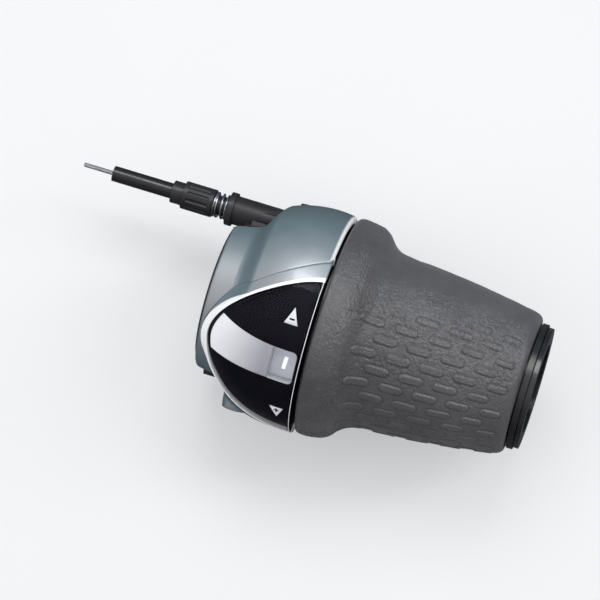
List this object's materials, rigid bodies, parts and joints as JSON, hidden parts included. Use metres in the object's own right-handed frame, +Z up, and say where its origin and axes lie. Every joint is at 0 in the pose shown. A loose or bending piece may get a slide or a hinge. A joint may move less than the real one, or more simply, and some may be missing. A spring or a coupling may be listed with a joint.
{
  "type": "twist-grip gear shifter",
  "caption": "Twist-grip bicycle gear shifter for the handlebar: rubber grip collar, painted housing with a lens over the number dial, and a cable outlet with adjuster.",
  "frame": {"origin": "on the handlebar axis, at the inboard face of the clamp collar", "axes": "+X outboard along the handlebar, +Y forward, +Z up; the gear window faces up and back"},
  "size_m": [0.1274, 0.0568, 0.0568],
  "materials": {
    "black_plastic": "moulded, fine grain",
    "cover_paint": "satin metallic grey-blue paint",
    "bright_rim": "bright satin plating",
    "lens_clear": "clear, polished",
    "fascia_black": "gloss black print",
    "band_silver": "satin silver print",
    "dial_grey": "moulded, satin",
    "core_plastic": "moulded",
    "grip_rubber": "matt, leather grain with raised dashes",
    "washer_black": "satin",
    "acetal_white": "moulded",
    "steel": "bright",
    "wire_steel": "stranded",
    "spring_steel": "bright",
    "adjuster_black": "moulded, ribbed",
    "ferrule_black": "moulded",
    "casing_black": "extruded PVC",
    "liner_white": "extruded",
    "bolt_black": "black oxide",
    "nut_zinc": "zinc plated",
    "screw_steel": "dark plated"
  },
  "bodies": {
    "housing": {"housing_base": "black_plastic", "top_cover": "cover_paint", "window_bezel": "bright_rim", "window_lens": "lens_clear", "window_fascia": "fascia_black", "fascia_band": "band_silver", "slip_washer": "washer_black", "thrust_washer": "acetal_white", "sun_gear": "acetal_white", "wire_lead": "wire_steel", "pulley_axle": "steel", "pulley_cap": "black_plastic", "detent_spring": "spring_steel", "adjuster_spring": "spring_steel", "clamp_bolt": "bolt_black", "clamp_nut": "nut_zinc", "cover_screws": "screw_steel"},
    "grip": {"grip_core": "core_plastic", "grip_sleeve": "grip_rubber", "gear_dial": "dial_grey"},
    "drum": {"wire_drum": "acetal_white", "planet_pins": "steel", "wire_wound": "wire_steel", "wire_nipple": "steel"},
    "planet_a": {"planet_gear_a": "acetal_white"},
    "planet_b": {"planet_gear_b": "acetal_white"},
    "planet_c": {"planet_gear_c": "acetal_white"},
    "pulley": {"guide_pulley": "acetal_white"},
    "wire": {"wire_run": "wire_steel"},
    "casing": {"casing_ferrule": "ferrule_black", "outer_casing": "casing_black", "casing_liner": "liner_white"},
    "adjuster": {"barrel_adjuster": "adjuster_black"}
  },
  "joints": [
    {"name": "grip_twist", "type": "hinge", "parent": "housing", "child": "grip", "pos_m": [0.05, 0, 0], "axis": [1, 0, 0], "range_deg": [0, 120], "deforming": ["detent_spring"]},
    {"name": "drum_turn", "type": "hinge", "parent": "housing", "child": "drum", "pos_m": [0.0105, 0, 0], "axis": [1, 0, 0], "range_deg": [0, 70.1], "deforming": ["wire_wound"]},
    {"name": "planet_a_spin", "type": "hinge", "parent": "drum", "child": "planet_a", "pos_m": [0.0137, 0, 0.0165], "axis": [1, 0, 0], "range_deg": [0, 350.5]},
    {"name": "planet_b_spin", "type": "hinge", "parent": "drum", "child": "planet_b", "pos_m": [0.0137, -0.01429, -0.00825], "axis": [1, 0, 0], "range_deg": [0, 350.5]},
    {"name": "planet_c_spin", "type": "hinge", "parent": "drum", "child": "planet_c", "pos_m": [0.0137, 0.01429, -0.00825], "axis": [1, 0, 0], "range_deg": [0, 350.5]},
    {"name": "pulley_spin", "type": "hinge", "parent": "housing", "child": "pulley", "pos_m": [0.0068, 0.01874, -0.00834], "axis": [0, -0.342, 0.9397], "range_deg": [0, 250]},
    {"name": "wire_pull", "type": "slide", "parent": "housing", "child": "wire", "axis": [-1, 0, 0], "range_m": [0, 0.01745]},
    {"name": "casing_slide", "type": "slide", "parent": "housing", "child": "casing", "axis": [1, 0, 0], "range_m": [-0.0008, 0.0008], "deforming": ["adjuster_spring"]},
    {"name": "adjuster_turn", "type": "hinge", "parent": "casing", "child": "adjuster", "pos_m": [-0.013, 0.0225, -0.00698], "axis": [1, 0, 0], "range_deg": [-361, 361]}
  ],
  "couplings": [
    {"joint": "drum_turn", "follows": "grip_twist", "ratio": 0.58333},
    {"joint": "planet_a_spin", "follows": "grip_twist", "ratio": 2.9167},
    {"joint": "planet_b_spin", "follows": "grip_twist", "ratio": 2.9167},
    {"joint": "planet_c_spin", "follows": "grip_twist", "ratio": 2.9167},
    {"joint": "pulley_spin", "follows": "grip_twist", "ratio": 2.0781},
    {"joint": "wire_pull", "follows": "grip_twist", "m_per_rad": 0.0083125},
    {"joint": "adjuster_turn", "follows": "casing_slide", "rad_per_m": 7854}
  ]
}
